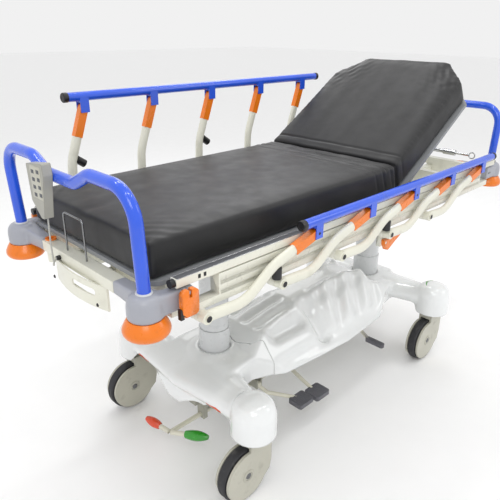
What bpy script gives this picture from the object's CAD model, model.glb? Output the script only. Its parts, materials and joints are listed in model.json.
import json
from math import cos, pi, radians, sin, tan

import bmesh
import bpy
import numpy as np
from mathutils import Matrix, Vector
from mathutils.bvhtree import BVHTree


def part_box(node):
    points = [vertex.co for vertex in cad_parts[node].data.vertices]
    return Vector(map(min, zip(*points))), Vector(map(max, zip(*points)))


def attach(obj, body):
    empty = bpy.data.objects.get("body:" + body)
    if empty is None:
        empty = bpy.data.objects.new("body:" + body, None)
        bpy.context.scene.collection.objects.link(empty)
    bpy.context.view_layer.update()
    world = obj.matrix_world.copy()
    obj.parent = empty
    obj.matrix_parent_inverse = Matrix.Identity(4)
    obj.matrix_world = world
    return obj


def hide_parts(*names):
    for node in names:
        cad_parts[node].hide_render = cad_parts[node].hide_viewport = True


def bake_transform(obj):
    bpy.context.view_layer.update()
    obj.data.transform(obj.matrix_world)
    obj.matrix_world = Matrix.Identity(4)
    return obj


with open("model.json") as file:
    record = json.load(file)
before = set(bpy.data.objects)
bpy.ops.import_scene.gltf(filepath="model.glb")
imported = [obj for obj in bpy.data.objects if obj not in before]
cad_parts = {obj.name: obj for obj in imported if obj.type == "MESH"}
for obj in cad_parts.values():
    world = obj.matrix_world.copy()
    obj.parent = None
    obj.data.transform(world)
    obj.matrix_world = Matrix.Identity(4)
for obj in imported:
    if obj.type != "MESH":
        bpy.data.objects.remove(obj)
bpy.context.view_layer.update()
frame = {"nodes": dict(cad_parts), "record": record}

scene = bpy.context.scene
scene.view_settings.view_transform = "Standard"
record_nodes = {part["node"]: part["material_slot"] for part in frame["record"]["subparts"]}

# Metres throughout: +X head end, -X foot end, -Y the patient's left, +Z up, floor at z = 0.

# ---- camera ----------------------------------------------------------------------------------
camera_place = Vector((-1.60423, -1.31732, 1.47881))
camera_azimuth = radians(44.93)
camera_drop = radians(22.73)
camera_roll = radians(0.527)
look = Vector((sin(camera_azimuth) * cos(camera_drop), cos(camera_azimuth) * cos(camera_drop),
               -sin(camera_drop)))
level = look.cross(Vector((0, 0, 1))).normalized()
upright = level.cross(look)
right = level * cos(camera_roll) + upright * sin(camera_roll)
up = upright * cos(camera_roll) - level * sin(camera_roll)
camera_data = bpy.data.cameras.new("camera")
camera_data.lens = 38.44
camera_data.sensor_width = 36.0
camera = bpy.data.objects.new("camera", camera_data)
camera.matrix_world = Matrix.Translation(camera_place) @ Matrix(
    ((right.x, up.x, -look.x), (right.y, up.y, -look.y), (right.z, up.z, -look.z))).to_4x4()
scene.collection.objects.link(camera)
scene.camera = camera


# ---- materials -------------------------------------------------------------------------------
def linear(code):
    """An sRGB hex colour as linear RGBA."""
    levels = [int(code[i:i + 2], 16) / 255 for i in (0, 2, 4)]
    return tuple(v / 12.92 if v <= 0.04045 else ((v + 0.055) / 1.055) ** 2.4 for v in levels) + (1.0,)


def noise(nodes, link, vector, scale, detail=2.0, stretch=None):
    """A noise field over object space, stretched along an axis where a scale triple is given."""
    if stretch:
        mapping = nodes.new("ShaderNodeMapping")
        mapping.inputs["Scale"].default_value = stretch
        link(vector, mapping.inputs["Vector"])
        vector = mapping.outputs["Vector"]
    field = nodes.new("ShaderNodeTexNoise")
    field.inputs["Scale"].default_value = scale
    field.inputs["Detail"].default_value = detail
    link(vector, field.inputs["Vector"])
    return field.outputs["Fac"]


def ranged(nodes, link, value, span, to):
    """Maps the span of a value onto another."""
    node = nodes.new("ShaderNodeMapRange")
    for i, number in enumerate((*span, *to)):
        node.inputs[i + 1].default_value = number
    link(value, node.inputs[0])
    return node.outputs[0]


def surface(name, code, rough, tone=0.05, spread=0.06, metal=0.0, coat=0.0, coat_rough=0.06, sheen=0.0,
            grain=900.0, bump=0.12, depth=0.0003, edge=0.0, scuff=None, stretch=None, patch=9.0,
            specular=0.5):
    """A procedural finish: tone drift, roughness drift, fine relief, soft edges and scuffs."""
    mat = bpy.data.materials.new(name)
    mat.use_nodes = True
    nodes = mat.node_tree.nodes
    link = mat.node_tree.links.new
    shader = nodes["Principled BSDF"]
    place = nodes.new("ShaderNodeTexCoord").outputs["Object"]
    base = linear(code)
    drift = noise(nodes, link, place, patch, 4.0)
    blend = nodes.new("ShaderNodeMix")
    blend.data_type = "RGBA"
    blend.inputs[6].default_value = tuple(c * (1 - tone) for c in base[:3]) + (1.0,)
    blend.inputs[7].default_value = tuple(min(1.0, c * (1 + tone)) for c in base[:3]) + (1.0,)
    link(ranged(nodes, link, drift, (0.3, 0.7), (0.0, 1.0)), blend.inputs[0])
    colour = blend.outputs[2]
    roughness = ranged(nodes, link, noise(nodes, link, place, patch * 4.3, 5.0),
                       (0.3, 0.7), (max(0.02, rough - spread), rough + spread))
    if scuff:
        scuff_code, amount, scuff_scale = scuff
        marks = noise(nodes, link, place, scuff_scale, 9.0, stretch)
        mask = ranged(nodes, link, marks, (0.60, 0.70), (0.0, amount))
        worn = nodes.new("ShaderNodeMix")
        worn.data_type = "RGBA"
        worn.inputs[7].default_value = linear(scuff_code)
        link(mask, worn.inputs[0])
        link(colour, worn.inputs[6])
        colour = worn.outputs[2]
        rougher = nodes.new("ShaderNodeMath")
        rougher.operation = "MULTIPLY_ADD"
        rougher.inputs[1].default_value = 0.5
        link(mask, rougher.inputs[0])
        link(roughness, rougher.inputs[2])
        roughness = rougher.outputs[0]
    link(colour, shader.inputs["Base Color"])
    link(roughness, shader.inputs["Roughness"])
    relief = nodes.new("ShaderNodeBump")
    relief.inputs["Strength"].default_value = bump
    relief.inputs["Distance"].default_value = depth
    link(noise(nodes, link, place, grain, 2.0, stretch), relief.inputs["Height"])
    if edge:
        soft = nodes.new("ShaderNodeBevel")
        soft.samples = 3
        soft.inputs["Radius"].default_value = edge
        link(soft.outputs["Normal"], relief.inputs["Normal"])
    link(relief.outputs["Normal"], shader.inputs["Normal"])
    shader.inputs["Metallic"].default_value = metal
    shader.inputs["Coat Weight"].default_value = coat
    shader.inputs["Coat Roughness"].default_value = coat_rough
    shader.inputs["Sheen Weight"].default_value = sheen
    shader.inputs["Specular IOR Level"].default_value = specular
    return mat


def weave(name, code):
    """Coated elastic fabric: a fine two-way knit under a thin polyurethane film."""
    mat = surface(name, code, 0.46, tone=0.06, spread=0.05, sheen=0.06, grain=260.0, bump=0.20,
                  depth=0.0005, patch=5.0, specular=0.5)
    nodes = mat.node_tree.nodes
    link = mat.node_tree.links.new
    shader = nodes["Principled BSDF"]
    place = nodes.new("ShaderNodeTexCoord").outputs["Object"]
    waves = []
    for direction in ("X", "Y"):
        wave = nodes.new("ShaderNodeTexWave")
        wave.bands_direction = direction
        wave.inputs["Scale"].default_value = 160.0
        wave.inputs["Distortion"].default_value = 0.4
        link(place, wave.inputs["Vector"])
        waves.append(wave.outputs["Fac"])
    knit = nodes.new("ShaderNodeMath")
    knit.operation = "MULTIPLY"
    link(waves[0], knit.inputs[0])
    link(waves[1], knit.inputs[1])
    fine = nodes.new("ShaderNodeBump")
    fine.inputs["Strength"].default_value = 0.16
    fine.inputs["Distance"].default_value = 0.0003
    link(knit.outputs[0], fine.inputs["Height"])
    link(shader.inputs["Normal"].links[0].from_socket, fine.inputs["Normal"])
    link(fine.outputs["Normal"], shader.inputs["Normal"])
    shader.inputs["Sheen Roughness"].default_value = 0.4
    return mat


finish = {
    "chassis_paint": surface("chassis_paint", "A9A89C", 0.45, edge=0.0015, scuff=("7C7B72", 0.3, 20.0)),
    "cover_white": surface("cover_white", "ECEEEE", 0.16, tone=0.02, spread=0.04, coat=0.9, coat_rough=0.03,
                           grain=35.0, bump=0.05, depth=0.002, scuff=("C9C9C4", 0.18, 9.0)),
    "column_grey": surface("column_grey", "D6D8D9", 0.30, tone=0.03, coat=0.25, grain=700.0,
                           stretch=(1, 1, 0.05), edge=0.001),
    "fork_beige": surface("fork_beige", "BDBBAD", 0.36, coat=0.2, edge=0.004, grain=1100.0,
                          scuff=("8D8A7E", 0.35, 18.0)),
    "wheel_tread": surface("wheel_tread", "2C2C2F", 0.62, tone=0.2, grain=420.0, bump=0.3, edge=0.001,
                           scuff=("6A6862", 0.35, 30.0)),
    "lever_cream": surface("lever_cream", "D8D5C4", 0.34, coat=0.25, edge=0.001,
                           scuff=("6E6A5E", 0.3, 26.0)),
    "brake_pad_plastic": surface("brake_red", "D8451C", 0.24, tone=0.08, coat=0.6, grain=160.0),
    "frame_cream": surface("frame_cream", "E3E2D3", 0.33, tone=0.03, coat=0.3, edge=0.0016, grain=800.0,
                           scuff=("B5B2A2", 0.22, 12.0)),
    "socket_orange": surface("socket_orange", "EE7800", 0.3, coat=0.3, edge=0.0008),
    "casting_grey": surface("casting_grey", "A2A4AC", 0.38, tone=0.04, coat=0.15, grain=1300.0, bump=0.16,
                            scuff=("86888C", 0.25, 16.0)),
    "bumper_orange": surface("bumper_orange", "EE7A00", 0.30, tone=0.05, coat=0.35, grain=520.0,
                             scuff=("B25A06", 0.3, 22.0)),
    "profile_cream": surface("profile_cream", "E4E3D6", 0.30, tone=0.03, coat=0.3, edge=0.0014,
                             grain=900.0, stretch=(0.04, 1, 1), scuff=("BDBAAB", 0.25, 12.0)),
    "knob_black": surface("knob_black", "1C1C1E", 0.38, tone=0.2, grain=1400.0, bump=0.2, edge=0.0012),
    "handle_blue": surface("handle_blue", "2257DC", 0.22, tone=0.06, coat=0.6, grain=650.0, bump=0.08,
                           edge=0.001, scuff=("1C459F", 0.3, 15.0)),
    "wire_steel": surface("wire_steel", "8E8F90", 0.24, metal=1.0, grain=900.0, bump=0.08),
    "panel_grey": surface("panel_grey", "8B8D8F", 0.42, edge=0.002, grain=1500.0),
    "mattress_cover": weave("mattress_cover", "111113"),
    "handset_grey": surface("handset_grey", "A6A59C", 0.44, grain=1600.0, bump=0.2, edge=0.004),
    "cable_grey": surface("cable_grey", "B4B4AE", 0.48, grain=900.0),
    "spring_black": surface("spring_black", "202022", 0.3, coat=0.3, grain=900.0),
    "rod_steel": surface("rod_steel", "C9CACB", 0.12, metal=1.0, grain=600.0, bump=0.04),
    "pole_steel": surface("pole_steel", "C4C5C6", 0.17, metal=1.0, grain=700.0, bump=0.05,
                          stretch=(1, 0.04, 1), edge=0.001),
    "latch_orange": surface("latch_orange", "EE7A00", 0.28, coat=0.4, edge=0.003, grain=900.0),
    "brake_green": surface("brake_green", "229418", 0.22, tone=0.08, coat=0.6, grain=160.0),
    "disc_beige": surface("disc_beige", "C4C2B6", 0.38, coat=0.15, grain=1200.0, edge=0.002,
                          scuff=("8E8B80", 0.3, 22.0)),
    "pad_rubber": surface("pad_rubber", "626268", 0.52, tone=0.12, grain=900.0, bump=0.3, edge=0.0015,
                          scuff=("8A8A8C", 0.3, 40.0)),
    "bolt_steel": surface("bolt_steel", "77787A", 0.30, metal=1.0, grain=900.0, bump=0.08, edge=0.0004),
    "bolt_dark": surface("bolt_dark", "3A3A3C", 0.36, metal=0.8, grain=900.0, bump=0.08, edge=0.0004),
    "inlay_dark": surface("inlay_dark", "55565A", 0.5, tone=0.1, grain=900.0, bump=0.2),
    "swoosh_red": surface("swoosh_red", "DE4A20", 0.22, coat=0.6, grain=400.0, bump=0.03),
    "swoosh_green": surface("swoosh_green", "4E9A3C", 0.22, coat=0.6, grain=400.0, bump=0.03),
    "key_dark": surface("key_dark", "4A4E54", 0.4, grain=1200.0, bump=0.15),
    "floor_pale": surface("floor_pale", "FAFAFA", 0.55, tone=0.01, grain=40.0, bump=0.02, specular=0.2),
}
for node_name, node_slot in record_nodes.items():
    cad = frame["nodes"][node_name]
    cad.data.materials.clear()
    cad.data.materials.append(finish[node_slot])


# ---- mesh helpers ----------------------------------------------------------------------------
def finish_piece(name, bm, material, body, replaces=(), sharp=40.0):
    """Turns a bmesh into a shaded piece that rides on a body."""
    bmesh.ops.recalc_face_normals(bm, faces=bm.faces)
    mesh = bpy.data.meshes.new(name)
    bm.to_mesh(mesh)
    bm.free()
    mesh.shade_smooth()
    mesh.set_sharp_from_angle(angle=radians(sharp))
    mesh.materials.append(finish[material])
    piece = bpy.data.objects.new(name, mesh)
    scene.collection.objects.link(piece)
    if body:
        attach(piece, body)
    if replaces:
        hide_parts(*replaces)
    return piece


def loft(bm, rings):
    """A closed form through rings of the same number of points, capped at both ends."""
    rows = [[bm.verts.new(point) for point in ring] for ring in rings]
    count = len(rows[0])
    for a, b in zip(rows, rows[1:]):
        for i in range(count):
            bm.faces.new((a[i], a[(i + 1) % count], b[(i + 1) % count], b[i]))
    bm.faces.new(rows[0][::-1])
    bm.faces.new(rows[-1])


def spin(bm, centre, axis, profile, steps=40):
    """A turned form: (radius, height) pairs round an axis from a centre."""
    axis = Vector(axis).normalized()
    side = axis.orthogonal().normalized()
    other = axis.cross(side)
    centre = Vector(centre)
    rings = []
    for radius, height in profile:
        ring = []
        for i in range(steps):
            turn = 2 * pi * i / steps
            ring.append(centre + axis * height + (side * cos(turn) + other * sin(turn)) * radius)
        rings.append(ring)
    loft(bm, rings)


def rod(bm, start, end, radius, steps=24):
    run = Vector(end) - Vector(start)
    spin(bm, start, run, ((radius, 0), (radius, run.length)), steps)


def box(bm, low, high, rounding=0.0):
    """A block with its edges rounded."""
    verts = bmesh.ops.create_cube(bm, size=1.0)["verts"]
    low, high = Vector(low), Vector(high)
    for vert in verts:
        vert.co = Vector(low[i] + (vert.co[i] + 0.5) * (high[i] - low[i]) for i in range(3))
    if rounding:
        edges = {edge for vert in verts for edge in vert.link_edges}
        bmesh.ops.bevel(bm, geom=list(edges), offset=rounding, segments=3, profile=0.5, affect="EDGES")


def baked(piece):
    """Replaces a piece's mesh by what its modifiers make of it."""
    graph = bpy.context.evaluated_depsgraph_get()
    mesh = bpy.data.meshes.new_from_object(piece.evaluated_get(graph))
    piece.modifiers.clear()
    piece.data = mesh
    return mesh


def points_of(mesh):
    values = np.empty(len(mesh.vertices) * 3)
    mesh.vertices.foreach_get("co", values)
    return values.reshape(-1, 3)


def set_points(mesh, points):
    mesh.vertices.foreach_set("co", np.ascontiguousarray(points).ravel())
    mesh.update()


def fused(name, bm, material, body, voxel, rounds, replaces=()):
    """Melts overlapping closed forms into one skin and eases the joins."""
    piece = finish_piece(name, bm, material, body, replaces)
    melt = piece.modifiers.new("melt", "REMESH")
    melt.mode = "VOXEL"
    melt.voxel_size = voxel
    ease = piece.modifiers.new("ease", "SMOOTH")
    ease.factor = 0.5
    ease.iterations = rounds
    mesh = baked(piece)
    mesh.shade_smooth()
    return piece


def step(value, low, high):
    """Smooth step from 0 to 1 over the span."""
    share = np.clip((value - low) / (high - low), 0.0, 1.0)
    return share * share * (3 - 2 * share)


def islands(node, body, looks):
    """Splits a CAD node into its solids; the first of looks (suffix, material, test) that fits is used."""
    bm = bmesh.new()
    bm.from_mesh(frame["nodes"][node].data)
    bmesh.ops.remove_doubles(bm, verts=bm.verts, dist=2e-6)
    left = set(bm.verts)
    groups = []
    while left:
        stack = [left.pop()]
        group = set(stack)
        while stack:
            for edge in stack.pop().link_edges:
                for vert in edge.verts:
                    if vert in left:
                        left.discard(vert)
                        group.add(vert)
                        stack.append(vert)
        groups.append(group)
    made = []
    groups.sort(key=lambda g: -len(g))
    for suffix, material, wanted in looks:
        chosen = [g for g in groups if wanted(g)]
        groups = [g for g in groups if g not in chosen]
        if not chosen:
            continue
        keep = set().union(*chosen)
        part = bmesh.new()
        links = {vert: part.verts.new(vert.co) for vert in keep}
        for face in bm.faces:
            if face.verts[0] in keep:
                part.faces.new([links[vert] for vert in face.verts])
        piece = finish_piece(f"{node}_{suffix}", part, material, body, (node,), 30.0)
        made.append(piece)
    bm.free()
    return made


def by_place(node, body, looks):
    """Splits a CAD node's faces by their centres; looks gives (suffix, material, slot, test)."""
    mesh = frame["nodes"][node].data
    for number, (suffix, material, slot, wanted) in enumerate(looks):
        part = bmesh.new()
        part.from_mesh(mesh)
        drop = [face for face in part.faces
                if next(i for i, look in enumerate(looks) if look[3](face.calc_center_median())) != number]
        bmesh.ops.delete(part, geom=drop, context="FACES")
        bmesh.ops.remove_doubles(part, verts=part.verts, dist=2e-6)
        finish_piece(f"{node}_{suffix}", part, material, body, (node,), 30.0)


def span(group):
    low = Vector(min(vert.co[i] for vert in group) for i in range(3))
    high = Vector(max(vert.co[i] for vert in group) for i in range(3))
    return low, high


# ---- base covers -----------------------------------------------------------------------------
top_line = np.array([(-0.678, 0.236), (-0.655, 0.296), (-0.60, 0.338), (-0.545, 0.356), (-0.42, 0.360),
                     (-0.345, 0.402), (-0.22, 0.422), (-0.10, 0.436), (0.23, 0.452), (0.35, 0.426),
                     (0.45, 0.356), (0.57, 0.336), (0.65, 0.300), (0.678, 0.240)])
plan_line = np.array([(-0.678, 0.070), (-0.65, 0.150), (-0.56, 0.180), (-0.43, 0.160), (-0.35, 0.192),
                      (-0.30, 0.220), (-0.10, 0.238), (0.07, 0.248), (0.33, 0.230), (0.45, 0.172),
                      (0.56, 0.156), (0.65, 0.120), (0.678, 0.070)])
flank_line = np.array([(0.0, 0.458), (0.052, 0.454), (0.120, 0.398), (0.235, 0.262), (0.255, 0.225)])
skirt_low = 0.190
caster_x, caster_y = 0.600, 0.335
foot_column_x, head_column_x = -0.475, 0.525

form = bmesh.new()
rings = []
for x in np.linspace(-0.676, 0.676, 91):
    half = np.interp(x, plan_line[:, 0], plan_line[:, 1])
    crown = np.interp(x, top_line[:, 0], top_line[:, 1])
    ring = []
    for y in np.linspace(-half, half, 41):
        height = min(crown, np.interp(abs(y), flank_line[:, 0], flank_line[:, 1]))
        ring.append((x, y, max(height, 0.225)))
    ring += [(x, half, skirt_low), (x, -half, skirt_low)]
    rings.append(ring)
loft(form, rings)
for sx in (-1, 1):
    for sy in (-1, 1):
        arm = []
        for share in np.linspace(0.0, 1.0, 12):
            y = sy * share * caster_y
            reach = 0.062 + 0.066 * (1 - share) ** 1.3
            high = 0.050 - 0.004 * sin(pi * share)
            arm.append([(sx * (caster_x - 0.044 * (1 - share)) + reach * cos(t), y,
                         0.302 + high * sin(t)) for t in np.linspace(0, 2 * pi, 28, endpoint=False)])
        loft(form, arm)
        spin(form, (sx * caster_x, sy * caster_y, 0), (0, 0, 1),
             ((0.0765, 0.215), (0.0785, 0.25), (0.0785, 0.300), (0.076, 0.328), (0.069, 0.348),
              (0.056, 0.363), (0.036, 0.371), (0.012, 0.3735)), 48)
# The step round the head column and the swelling round the foot column.
box(form, (0.438, -0.090, 0.25), (0.640, 0.090, 0.358), 0.012)
spin(form, (foot_column_x, 0, 0), (0, 0, 1),
     ((0.135, 0.25), (0.128, 0.33), (0.100, 0.358), (0.080, 0.366)), 40)
cover = fused("base_cover_form", form, "cover_white", None, 0.0068, 7)
points = points_of(cover.data)
x, y, z = points.T
reach = np.abs(y)
upper = step(z, 0.235, 0.30)
on_top = step(z, 0.33, 0.40)
near_foot = step(x, -0.345, -0.30) * (1 - step(x, -0.150, -0.095))
flutes = -0.011 * (0.5 + 0.5 * np.cos(2 * pi * y / 0.066)) ** 1.5
flutes = flutes * near_foot * on_top * (1 - step(reach, 0.095, 0.13))
valley = -0.044 * np.exp(-((x + 0.050 - 0.10 * (reach - 0.10)) / 0.034) ** 2) * step(reach, 0.050, 0.11)
valley *= 1 - step(reach, 0.185, 0.232)
shelf = -0.036 * np.exp(-((reach - 0.120) / 0.026) ** 2) * step(x, -0.33, -0.27)
shelf = shelf * (1 - step(x, -0.14, -0.07))
folds = 0.014 * np.sin(2 * pi * (x + 0.75 * reach) / 0.135 + 0.8) * step(x, 0.0, 0.06)
folds *= (1 - step(x, 0.36, 0.44)) * step(reach, 0.045, 0.085) * (1 - step(reach, 0.175, 0.215))
crest = 0.014 * np.exp(-((reach - 0.070) / 0.018) ** 2) * step(x, -0.03, 0.06) * (1 - step(x, 0.33, 0.42))
z += upper * (flutes + valley + shelf + folds + crest)
flank = step(x, -0.37, -0.30) * (1 - step(x, 0.30, 0.42)) * step(reach, 0.17, 0.20)
hollow = 0.012 * np.exp(-((z - 0.285) / 0.032) ** 2) * flank
y -= np.sign(y) * hollow
set_points(cover.data, np.stack((x, y, z), axis=1))


def skirt(px, py):
    """Height of the lower edge: low along the body, arched up under the arms, lower again at the pods."""
    away = np.abs(py)
    body_half = np.interp(px, plan_line[:, 0], plan_line[:, 1])
    arch = step(away, body_half - 0.055, body_half + 0.02)
    dip = step(away, 0.262, 0.300)
    centre = 0.204 + 0.020 * step(np.abs(px), 0.60, 0.67)
    return centre + (0.276 - centre) * arch - 0.039 * dip * arch


def seam(py):
    """Where the foot cover meets the main one: back round the column, forward down the flank."""
    away = np.abs(py)
    return (-0.398 + 0.052 * step(away, 0.105, 0.135) - 0.010 * np.sin(away * 40.0)
            * (1 - step(away, 0.10, 0.13)))


def sliced(source, name, side, gap, column_x, sleeve_radius, node):
    """One cover cut from the whole form along the skirt, the seam and the column hole."""
    bm = bmesh.new()
    bm.from_mesh(source.data)
    for vert in bm.verts:
        vert.co.z -= float(skirt(vert.co.x, vert.co.y))
    geom = bm.verts[:] + bm.edges[:] + bm.faces[:]
    bmesh.ops.bisect_plane(bm, geom=geom, plane_co=(0, 0, 0), plane_no=(0, 0, -1), clear_outer=True)
    for vert in bm.verts:
        vert.co.z += float(skirt(vert.co.x, vert.co.y))
        vert.co.x -= float(seam(vert.co.y))
    geom = bm.verts[:] + bm.edges[:] + bm.faces[:]
    bmesh.ops.bisect_plane(bm, geom=geom, plane_co=(side * gap, 0, 0), plane_no=(-side, 0, 0),
                           clear_outer=True)
    for vert in bm.verts:
        vert.co.x += float(seam(vert.co.y))
    hole = sleeve_radius + 0.0015
    inside = [vert for vert in bm.verts
              if (vert.co.xy - Vector((column_x, 0))).length < hole and vert.co.z > 0.26]
    bmesh.ops.delete(bm, geom=inside, context="VERTS")
    for vert in bm.verts:
        away = vert.co.xy - Vector((column_x, 0))
        if vert.is_boundary and away.length < hole + 0.012 and vert.co.z > 0.26:
            vert.co.xy = Vector((column_x, 0)) + away.normalized() * hole
    piece = finish_piece(name, bm, "cover_white", "base", (node,), 50.0)
    wall = piece.modifiers.new("wall", "SOLIDIFY")
    wall.thickness = 0.0035
    wall.offset = -1.0
    baked(piece)
    return piece


sliced(cover, "foot_cover_shell", -1, 0.0011, foot_column_x, 0.058, "base_cover_foot")
sliced(cover, "main_cover_shell", 1, 0.0011, head_column_x, 0.060, "base_cover_main")
cover_tree = BVHTree.FromPolygons([v.co.copy() for v in cover.data.vertices],
                                  [tuple(p.vertices) for p in cover.data.polygons])
bpy.data.objects.remove(cover)


def ribbon(name, path, widths, material, steps=26):
    """A thin moulded mark that lies on the covers along a path of points near them."""
    bm = bmesh.new()
    spots = []
    for i in range(steps):
        share = i / (steps - 1) * (len(path) - 1)
        cell = min(int(share), len(path) - 2)
        spot = Vector(path[cell]).lerp(Vector(path[cell + 1]), share - cell)
        place, normal, _, _ = cover_tree.find_nearest(spot)
        spots.append((place, normal))
    rows = []
    for i, (place, normal) in enumerate(spots):
        ahead = spots[min(i + 1, steps - 1)][0] - spots[max(i - 1, 0)][0]
        across = ahead.cross(normal).normalized()
        width = np.interp(i / (steps - 1), np.linspace(0, 1, len(widths)), widths)
        row = []
        for offset in (-1, -0.5, 0, 0.5, 1):
            spot, lift, _, _ = cover_tree.find_nearest(place + across * width * offset)
            row.append(bm.verts.new(spot + lift * 0.0007))
        rows.append(row)
    for a, b in zip(rows, rows[1:]):
        for i in range(4):
            bm.faces.new((a[i], a[i + 1], b[i + 1], b[i]))
    piece = finish_piece(name, bm, material, "base")
    thick = piece.modifiers.new("thick", "SOLIDIFY")
    thick.thickness = 0.0006
    baked(piece)
    return piece


for side, tag in ((-1, "left"), (1, "right")):
    ribbon(f"swoosh_foot_{tag}",
           ((-0.700, side * 0.170, 0.280), (-0.700, side * 0.205, 0.272), (-0.700, side * 0.240, 0.276)),
           (0.0005, 0.005, 0.010, 0.006), "swoosh_red")
    ribbon(f"swoosh_pod_{tag}", ((0.650, side * 0.300, 0.40), (0.600, side * 0.288, 0.40),
                                 (0.555, side * 0.310, 0.40)), (0.001, 0.005, 0.001), "swoosh_green")

# ---- corner castings -------------------------------------------------------------------------
half_x, half_y = 0.985, 0.342
handle_radius = 0.017
form = bmesh.new()
for sx in (-1, 1):
    for sy in (-1, 1):
        spin(form, (sx * half_x, sy * half_y, 0), (0, 0, 1),
             ((0.0440, 0.8285), (0.0462, 0.834), (0.0462, 0.860), (0.0445, 0.873), (0.040, 0.884),
              (0.031, 0.8915), (0.022, 0.8935)), 48)
        cross = []
        for share in np.linspace(0, 1, 9):
            y = sy * (0.2004 + share * (half_y - 0.2004))
            deep = 0.0205 + 0.008 * share ** 2
            tall = 0.0195 + 0.010 * share ** 2
            cross.append([(sx * (0.967 + 0.003 * share) + deep * c, y, 0.857 + tall * s)
                          for c, s in ((0.8, -1), (1, -0.8), (1, 0.8), (0.8, 1), (-0.8, 1), (-1, 0.8),
                                       (-1, -0.8), (-0.8, -1))])
        loft(form, cross)
        arm = []
        for share in np.linspace(0, 1, 9):
            x = sx * (0.867 + share * (half_x - 0.867))
            wide = 0.0155 + 0.012 * share ** 2
            tall = 0.0275 + 0.001 * share
            arm.append([(x, sy * (0.3665 - 0.012 * share ** 2) + wide * c, 0.8605 + tall * s)
                        for c, s in ((0.8, -1), (1, -0.8), (1, 0.8), (0.8, 1), (-0.8, 1), (-1, 0.8),
                                     (-1, -0.8), (-0.8, -1))])
        loft(form, arm)
fused("corner_casting_bodies", form, "casting_grey", "frame", 0.0032, 8,
      ("corner_castings",))
for sx in (-1, 1):
    collars = bmesh.new()
    for sy in (-1, 1):
        spin(collars, (sx * half_x, sy * half_y, 0), (0, 0, 1),
             ((handle_radius + 0.0005, 0.890), (handle_radius + 0.0040, 0.890),
              (handle_radius + 0.0040, 0.8955), (handle_radius + 0.0028, 0.8970),
              (handle_radius + 0.0003, 0.8970)), 40)
    end_name = "head" if sx > 0 else "foot"
    finish_piece(f"handle_collars_{end_name}", collars, "column_grey", "frame")


# ---- bolts -----------------------------------------------------------------------------------
def bolts(name, body, places, radius, material="bolt_steel"):
    """Button-head bolts with a hexagon socket; places are (seat centre, outward direction)."""
    bm = bmesh.new()
    for centre, outward in places:
        spin(bm, centre, outward,
             ((radius, 0), (radius, 0.0007), (radius * 0.94, 0.0016), (radius * 0.74, 0.0026),
              (radius * 0.5, 0.0029)), 28)
        spin(bm, Vector(centre) + Vector(outward) * 0.0028, outward,
             ((radius * 0.49, 0), (radius * 0.49, 0.0003), (radius * 0.40, 0.0003),
              (radius * 0.38, -0.0012)), 6)
    return finish_piece(name, bm, material, body)


pitch, first_post = 0.2843, -0.8514
post_pivot_z, post_axis_y = 0.8005, 0.405
pin_ahead, pin_rise = 0.4327, 0.116
pin_out = {"left": Vector((pin_ahead, 0, pin_rise))}
turn = radians(54.5)
pin_out["right"] = Vector((pin_ahead * cos(turn) - pin_rise * sin(turn), 0,
                           pin_ahead * sin(turn) + pin_rise * cos(turn)))
for side, tag in ((-1, "left"), (1, "right")):
    for i in range(5):
        post = f"{tag}_post_{i + 1}"
        pivot = Vector((first_post + i * pitch, side * post_axis_y, post_pivot_z))
        pin = pivot + pin_out[tag]

        def tube_like(group, pivot=pivot):
            low, high = span(group)
            return (high - low).length > 0.25

        def fitting_like(group, pin=pin):
            low, high = span(group)
            return ((low + high) / 2 - pin).length < 0.11

        islands(post, post, (("tube", "frame_cream", tube_like), ("fitting", "bumper_orange", fitting_like),
                             ("buffer", "knob_black", lambda group: True)))
        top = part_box(post)
        outer = top[0].y if side < 0 else top[1].y
        seat = (pin.x, outer - side * 0.0008, pin.z)
        bolts(f"{post}_bolts", post, [(seat, (0, side, 0))], 0.0058, "bolt_dark")
profile_out = max(abs(corner.y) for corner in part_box("side_profiles"))
by_place("side_profiles", "frame", (
    ("pivot_ends", "bolt_dark", "profile_cream", lambda c: abs(c.y) > profile_out - 0.0002),
    ("channels", "profile_cream", "profile_cream", lambda c: True)))

# ---- rails: black end caps ---------------------------------------------------------------------
rail_radius = 0.0155
for side, tag in ((-1, "left"), (1, "right")):
    low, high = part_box(f"{tag}_rail")
    rail_z = high.z - rail_radius
    caps = bmesh.new()
    for end, outward in ((low.x, -1), (high.x, 1)):
        spin(caps, (end - outward * 0.016, side * post_axis_y, rail_z), (outward, 0, 0),
             ((rail_radius + 0.0003, 0), (rail_radius + 0.0009, 0.001), (rail_radius + 0.0009, 0.015),
              (rail_radius - 0.0015, 0.0178), (0.0085, 0.0182), (0.0078, 0.0172)), 36)
    finish_piece(f"{tag}_rail_caps", caps, "knob_black", f"{tag}_rail")

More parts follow.
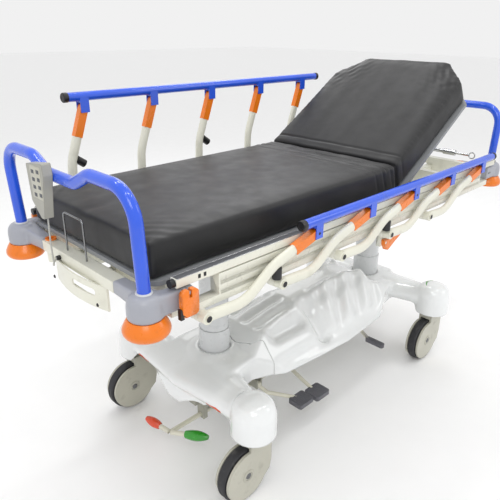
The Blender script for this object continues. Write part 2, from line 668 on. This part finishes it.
# ---- casters: tyre, disc and hub caps ------------------------------------------------------------
for end, sx in (("foot", -1), ("head", 1)):
    for tag, sy in (("left", -1), ("right", 1)):
        corner = f"{end}_{tag}"
        wheel = f"wheel_{corner}"
        islands(wheel, wheel, (
            ("disc", "disc_beige", lambda group: (span(group)[1] - span(group)[0]).x < 0.18),
            ("tyre", "wheel_tread", lambda group: True)))
        low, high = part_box(wheel)
        centre = (low + high) / 2
        caps = bmesh.new()
        for side in (-1, 1):
            face = (centre.x, centre.y + side * 0.0142, centre.z)
            spin(caps, face, (0, side, 0),
                 ((0.074, 0), (0.074, 0.0012), (0.070, 0.0026), (0.064, 0.0026), (0.060, 0.0010),
                  (0.034, 0.0006), (0.030, 0.0026), (0.020, 0.0034), (0.0075, 0.0034)), 56)
        finish_piece(f"{wheel}_dish", caps, "disc_beige", wheel)
        fork_low, fork_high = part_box(f"caster_fork_{corner}")
        ends = [((centre.x, y - out * 0.0002, centre.z), (0, out, 0))
                for y, out in ((fork_low.y, -1), (fork_high.y, 1))]
        bolts(f"caster_{corner}_axle_caps", f"caster_{corner}", ends, 0.0115, "bolt_steel")
        trims = bmesh.new()
        for y, out in ((fork_low.y, -1), (fork_high.y, 1)):
            spin(trims, (centre.x, y - out * 0.0002, centre.z), (0, out, 0),
                 ((0.024, 0), (0.024, 0.0010), (0.0225, 0.0020), (0.0165, 0.0020), (0.0155, 0.0006)), 40)
        finish_piece(f"caster_{corner}_axle_rings", trims, "fork_beige", f"caster_{corner}")

# ---- pedals --------------------------------------------------------------------------------------
pad_inner = {"foot": 0.217, "middle": 0.227, "release": 0.172}
for tag, sy in (("left", -1), ("right", 1)):
    for kind, inner in pad_inner.items():
        node = f"pedal_{tag}_{kind}"
        by_place(node, node, (
            ("pad", "pad_rubber", "lever_cream", lambda c, inner=inner: abs(c.y) > inner - 0.0002),
            ("arm", "lever_cream", "lever_cream", lambda c: True)))
        low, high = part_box(node)
        pad_low = Vector((low.x, sy * (inner + 0.004), 0.113))
        pad_high = Vector((high.x, sy * (max(abs(low.y), abs(high.y)) - 0.004), 0.131))
        if kind == "foot":
            pad_low.x, pad_high.x = -0.288, -0.206
        elif kind == "middle":
            pad_low.x, pad_high.x = -0.203, -0.123
        ribs = bmesh.new()
        for y in np.arange(min(pad_low.y, pad_high.y) + 0.005, max(pad_low.y, pad_high.y) - 0.003, 0.008):
            box(ribs, (pad_low.x + 0.008, y - 0.0018, pad_high.z - 0.0005),
                (pad_high.x - 0.008, y + 0.0018, pad_high.z + 0.0016), 0.0007)
        finish_piece(f"{node}_ribs", ribs, "pad_rubber", node)
islands("brake_pads", "brake_pedal", (
    ("red", "brake_pad_plastic", lambda group: max(v.co.y for v in group) > 0.05),
    ("green", "brake_green", lambda group: True)))

# ---- side inlays, profile slots, bolts -----------------------------------------------------------
islands("accessory_rails", "frame", (
    ("bars", "profile_cream", lambda group: (span(group)[1] - span(group)[0]).x > 0.5),
    ("knobs", "knob_black", lambda group: True)))
rail_low, rail_high = Vector((-0.921, 0, 0.897)), Vector((0.921, 0, 0.920))
for side, tag in ((-1, "left"), (1, "right")):
    inlay = bmesh.new()
    inner, outer = side * 0.3635, side * 0.3825
    box(inlay, (rail_low.x + 0.004, min(inner, outer), rail_high.z - 0.0006),
        (rail_high.x - 0.004, max(inner, outer), rail_high.z + 0.0012), 0.0007)
    finish_piece(f"accessory_inlay_{tag}", inlay, "inlay_dark", "frame")
    beads = bmesh.new()
    for y in (0.3622, 0.3842):
        rod(beads, (rail_low.x + 0.003, side * y, rail_high.z + 0.0002),
            (rail_high.x - 0.003, side * y, rail_high.z + 0.0002), 0.0011, 10)
    finish_piece(f"accessory_beads_{tag}", beads, "pole_steel", "frame")
slots = bmesh.new()
slot_y = 0.3853
for x in (-0.850, -0.832):
    for side in (-1, 1):
        box(slots, (x - 0.004, side * slot_y - 0.0006, 0.903),
            (x + 0.004, side * slot_y + 0.0006, 0.914), 0.0005)
finish_piece("accessory_slots", slots, "bolt_dark", "frame")
bolts("apron_bolts", "frame", [((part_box("foot_apron")[0].x + 0.0003, y, 0.788), (-1, 0, 0))
                               for y in (-0.140, 0.106)], 0.0055, "bolt_dark")
casting_bolts = []
for sx in (-1, 1):
    for sy in (-1, 1):
        for x in (0.880, 0.897):
            casting_bolts.append(((sx * x, sy * 0.3800, 0.862), (0, sy, 0)))
bolts("casting_bolts", "frame", casting_bolts, 0.0048, "bolt_dark")

for tag in ("left", "right"):
    by_place(f"siderail_latch_{tag}", f"latch_{tag}", (
        ("block", "knob_black", "knob_black", lambda c: c.x < -0.9185 and c.z < 0.8495),
        ("paddle", "latch_orange", "latch_orange", lambda c: True)))
hinges = bmesh.new()
for side in (-1, 1):
    box(hinges, (-0.902, min(side * 0.372, side * 0.4075), 0.883),
        (-0.896, max(side * 0.372, side * 0.4075), 0.891), 0.001)
    rod(hinges, (-0.914, side * 0.4035, 0.887), (-0.884, side * 0.4035, 0.887), 0.0025, 16)
finish_piece("latch_hinges", hinges, "casting_grey", "frame")

# ---- handset -------------------------------------------------------------------------------------
handset_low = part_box("handset")[0]
keys = bmesh.new()
for row in range(4):
    for column in range(2):
        y = 0.036 + column * 0.030 - row * 0.0012
        z = 1.124 - row * 0.021 - column * 0.003
        box(keys, (handset_low.x - 0.0009, y - 0.0085, z - 0.0055),
            (handset_low.x + 0.001, y + 0.0085, z + 0.0055), 0.0008)
finish_piece("handset_keys", keys, "key_dark", "frame")
rim = bmesh.new()
box(rim, (handset_low.x - 0.0006, 0.020, 1.048), (handset_low.x + 0.001, 0.082, 1.138), 0.0005)
finish_piece("handset_fascia", rim, "fork_beige", "frame")

# ---- handset cable -------------------------------------------------------------------------------
cable_route = ((-0.997, 0.090, 0.850), (-1.012, 0.082, 0.842), (-1.019, 0.064, 0.841),
               (-1.025, 0.046, 0.856), (-1.029, 0.038, 0.880), (-1.030, 0.038, 0.920),
               (-1.027, 0.041, 0.962), (-1.026, 0.041, 0.994))
cable_data = bpy.data.curves.new("handset_lead", "CURVE")
cable_data.dimensions = "3D"
cable_data.bevel_depth = 0.0024
cable_data.bevel_resolution = 5
cable_data.resolution_u = 12
spline = cable_data.splines.new("NURBS")
spline.points.add(len(cable_route) - 1)
for point, place in zip(spline.points, cable_route):
    point.co = (*place, 1.0)
spline.order_u = 3
spline.use_endpoint_u = True
cable = bpy.data.objects.new("handset_lead", cable_data)
cable.data.materials.append(finish["cable_grey"])
scene.collection.objects.link(cable)
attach(cable, "frame")
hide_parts("handset_cable")

# ---- mattress ------------------------------------------------------------------------------------
lean = radians(32.5)
hinge = Vector((0.190, 0.0, 0.890))
bottom, thick = 0.011, 0.105
mattress_half = 0.326
foot_end, back_reach = -0.957, 0.685
corner_along, corner_across = 0.130, 0.121
trim = 0.004


def spot(u, w, y):
    """A point by distance along the mattress from the hinge, height over the platform line and side."""
    shift = w * tan(lean / 2)
    if u < 0:
        along = min(0.0, u + 0.0)
        share = 1.0 if along > -0.15 else 0.0
        return Vector((hinge.x + along - shift * (1 + along / 0.15 if share else 0.0), y, hinge.z + w))
    ease = max(0.0, 1 - u / 0.15)
    run = u + shift * ease
    return Vector((hinge.x + run * cos(lean) - w * sin(lean), y, hinge.z + run * sin(lean) + w * cos(lean)))


def half_width(u):
    over = u - (back_reach - corner_along)
    return mattress_half - max(0.0, over) * corner_across / corner_along


form = bmesh.new()
rings = []
stations = [foot_end - hinge.x + trim] + list(np.linspace(foot_end - hinge.x + 0.02, -0.16, 24))
stations += list(np.linspace(-0.14, 0.14, 15)) + list(np.linspace(0.16, back_reach - corner_along, 12))
stations += list(np.linspace(back_reach - corner_along + 0.01, back_reach - trim, 8))
for u in stations:
    half = half_width(u) - trim
    low, high = bottom + trim * 0.5, bottom + thick - trim
    rings.append([spot(u, w, y) for w, y in
                  [(low, v) for v in np.linspace(-half, half, 15)]
                  + [(high, v) for v in np.linspace(half, -half, 15)]])
loft(form, rings)
mattress = finish_piece("mattress", form, "mattress_cover", None,
                        ("mattress_seat", "mattress_back"))
melt = mattress.modifiers.new("melt", "REMESH")
melt.mode = "VOXEL"
melt.voxel_size = 0.009
baked(mattress)
before = points_of(mattress.data)
cloth = mattress.modifiers.new("fill", "CLOTH")
cloth.settings.quality = 4
cloth.settings.use_pressure = True
cloth.settings.uniform_pressure_force = 4.0
cloth.settings.effector_weights.gravity = 0.0
cloth.settings.tension_stiffness = 25.0
cloth.point_cache.frame_start = 1
cloth.point_cache.frame_end = 20
for number in range(1, 21):
    scene.frame_set(number)
after = points_of(baked(mattress))
scene.frame_set(1)
move = after - before
size = np.linalg.norm(move, axis=1, keepdims=True)
cap = 0.006
set_points(mattress.data, before + move * np.minimum(1.0, cap / np.maximum(size, 1e-9)))
ease = mattress.modifiers.new("ease", "SMOOTH")
ease.factor = 0.5
ease.iterations = 2
smooth = mattress.modifiers.new("smooth", "SUBSURF")
smooth.levels = 1
baked(mattress)

points = points_of(mattress.data)
x, y, z = points.T
bend = lean / 2
dx, dz = x - hinge.x, z - hinge.z
across = dx * cos(bend) + dz * sin(bend)
on_back = across > 0
u = np.where(on_back, dx * cos(lean) + dz * sin(lean), dx)
w = np.where(on_back, -dx * sin(lean) + dz * cos(lean), dz)
top_share = step(w, 0.060, 0.105)
reach = np.abs(y)
side_share = step(reach, mattress_half - 0.030, mattress_half - 0.008)


def waves(a, b, seeds):
    """A gentle field of crossing waves, the same on each run."""
    total = np.zeros_like(a)
    for fa, fb, phase, size in seeds:
        total += size * np.sin(a * fa + b * fb + phase)
    return total


crease = 0.017 * np.exp(-(across / 0.0065) ** 2)
strip = 0.0050 * np.exp(-((across + 0.058) / 0.004) ** 2) + 0.003 * np.exp(-((across - 0.047) / 0.005) ** 2)
near = np.exp(-((across + 0.07) / 0.075) ** 2)
ripple = waves(across, y, ((210, 9, 0.3, 0.0011), (140, -14, 1.9, 0.0013), (330, 22, 0.7, 0.0004)))
bands = waves(y, across, ((38, 1.4, 0.5, 0.0007), (71, -2.1, 2.0, 0.00035)))
tug = np.exp(-(((u - 0.60) / 0.11) ** 2 + ((reach - 0.25) / 0.09) ** 2)) * on_back
gather = waves(u, reach, ((118, 130, 0.0, 0.0008), (71, 190, 1.1, 0.0007), (200, 61, 2.1, 0.0003))) * tug
foot_tug = np.exp(-(((u + 1.10) / 0.10) ** 2 + ((reach - 0.27) / 0.07) ** 2))
gather += waves(u, reach, ((120, -140, 0.4, 0.0010),)) * foot_tug
swell = 0.0025 * (1 - (y / mattress_half) ** 2)
lift = top_share * (swell + near * ripple + bands + gather - crease - strip)
pleats = sum(deep * np.exp(-((across - at + 0.10 * (w - 0.06)) / 0.006) ** 2)
             for at, deep in ((-0.126, 0.0014), (-0.079, 0.0022), (-0.031, 0.0028), (0.044, 0.0020)))
inward = side_share * (pleats * step(w, 0.02, 0.05) + 0.010 * np.exp(-(across / 0.008) ** 2)
                       + waves(across, w, ((19, 30, 0.2, 0.0008), (47, -22, 1.2, 0.0004))))
w = np.maximum(w + lift, bottom)
y = y - np.sign(y) * inward
y = np.clip(y, -mattress_half - 0.003, mattress_half + 0.003)
x = np.where(on_back, hinge.x + u * cos(lean) - w * sin(lean), hinge.x + u)
z = np.where(on_back, hinge.z + u * sin(lean) + w * cos(lean), hinge.z + w)
set_points(mattress.data, np.stack((x, y, z), axis=1))
mattress.data.shade_smooth()
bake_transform(mattress)

# ---- floor and light -----------------------------------------------------------------------------
stage = bmesh.new()
bmesh.ops.create_grid(stage, x_segments=1, y_segments=1, size=30.0)
floor = finish_piece("floor", stage, "floor_pale", None)
world = bpy.data.worlds.new("studio")
world.use_nodes = True
world.node_tree.nodes["Background"].inputs["Color"].default_value = (1.0, 1.0, 1.0, 1.0)
world.node_tree.nodes["Background"].inputs["Strength"].default_value = 0.88
scene.world = world


def lamp(name, place, aim, width, depth, power):
    data = bpy.data.lights.new(name, "AREA")
    data.shape = "RECTANGLE"
    data.size = width
    data.size_y = depth
    data.energy = power
    light = bpy.data.objects.new(name, data)
    light.location = place
    light.rotation_euler = (Vector(aim) - Vector(place)).to_track_quat("-Z", "Y").to_euler()
    scene.collection.objects.link(light)


lamp("key", (-2.6, -2.4, 3.4), (0, 0, 0.6), 1.6, 1.6, 30.0)
lamp("rear", (2.2, 2.6, 3.2), (0, 0, 0.8), 1.8, 1.8, 16.0)
lamp("side", (2.4, -2.8, 2.6), (0.2, 0, 0.6), 1.2, 1.2, 9.0)
for row in range(3):
    for column in range(2):
        lamp(f"ceiling_{row}_{column}", (-1.5 + 1.5 * row, -0.9 + 1.8 * column, 3.3),
             (-1.5 + 1.5 * row, -0.9 + 1.8 * column, 0), 0.9, 0.16, 5.0)
